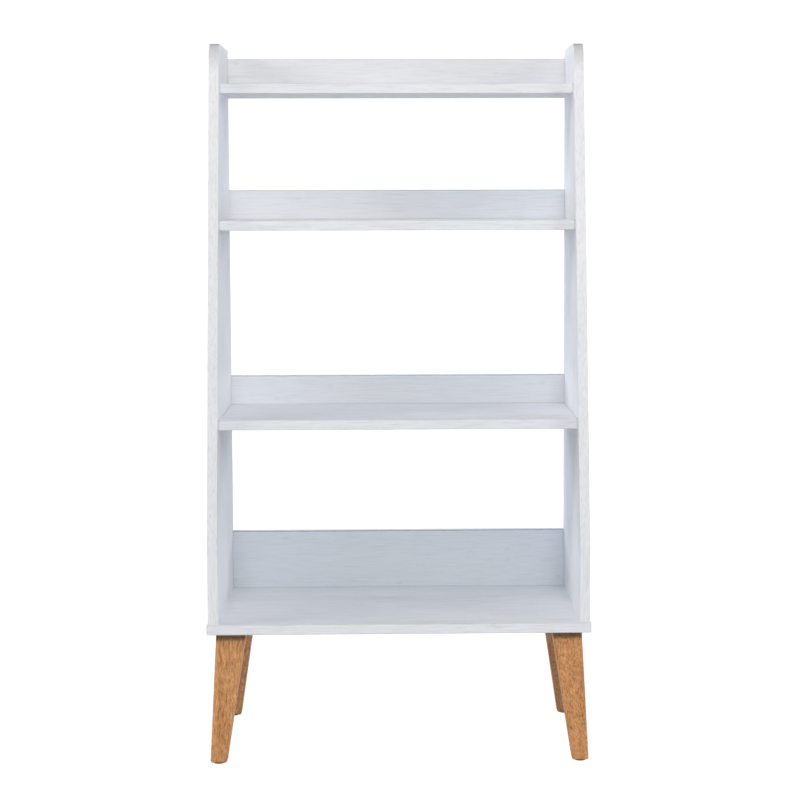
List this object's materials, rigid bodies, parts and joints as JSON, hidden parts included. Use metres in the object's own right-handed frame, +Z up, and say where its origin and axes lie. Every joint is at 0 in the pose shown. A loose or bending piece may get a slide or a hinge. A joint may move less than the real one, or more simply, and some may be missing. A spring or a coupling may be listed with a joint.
{
  "type": "bookcase",
  "caption": "Tall open bookcase with sides that lean back, fixed shelves with low back rails, and splayed tapered oak legs under a bottom board.",
  "frame": {"origin": "on the floor, under the middle of the object's bounding box", "axes": "+X to the right seen from the front, +Y to the back, +Z up; the open front faces -Y"},
  "size_m": [0.604, 0.3484, 1.135],
  "materials": {
    "white_wood": "whitewashed veneer, satin",
    "oak": "oiled oak, matt",
    "cam_zinc": "cast zinc",
    "fastener_steel": "zinc plated",
    "insert_brass": "plain",
    "dowel_beech": "raw beech",
    "glide_plastic": "moulded"
  },
  "bodies": {
    "root": {"side_panel_left": "white_wood", "side_panel_right": "white_wood", "bottom_board": "white_wood", "middle_shelf": "white_wood", "upper_shelf": "white_wood", "top_shelf": "white_wood", "lower_back_rail": "white_wood", "middle_back_rail": "white_wood", "upper_back_rail": "white_wood", "top_back_rail": "white_wood", "leg_front_left": "oak", "leg_front_right": "oak", "leg_rear_left": "oak", "leg_rear_right": "oak", "middle_shelf_cam_locks": "cam_zinc", "upper_shelf_cam_locks": "cam_zinc", "top_shelf_cam_locks": "cam_zinc", "lower_back_rail_cam_locks": "cam_zinc", "middle_back_rail_cam_locks": "cam_zinc", "upper_back_rail_cam_locks": "cam_zinc", "top_back_rail_cam_locks": "cam_zinc", "middle_shelf_cam_bolts": "fastener_steel", "upper_shelf_cam_bolts": "fastener_steel", "top_shelf_cam_bolts": "fastener_steel", "lower_back_rail_cam_bolts": "fastener_steel", "middle_back_rail_cam_bolts": "fastener_steel", "upper_back_rail_cam_bolts": "fastener_steel", "top_back_rail_cam_bolts": "fastener_steel", "base_screws": "fastener_steel", "leg_hanger_bolts": "fastener_steel", "leg_insert_nuts": "insert_brass", "middle_shelf_dowels": "dowel_beech", "upper_shelf_dowels": "dowel_beech", "top_shelf_dowels": "dowel_beech", "lower_back_rail_dowels": "dowel_beech", "middle_back_rail_dowels": "dowel_beech", "upper_back_rail_dowels": "dowel_beech", "top_back_rail_dowels": "dowel_beech", "base_dowels": "dowel_beech", "leg_dowels": "dowel_beech", "foot_glides": "glide_plastic"}
  },
  "joints": []
}
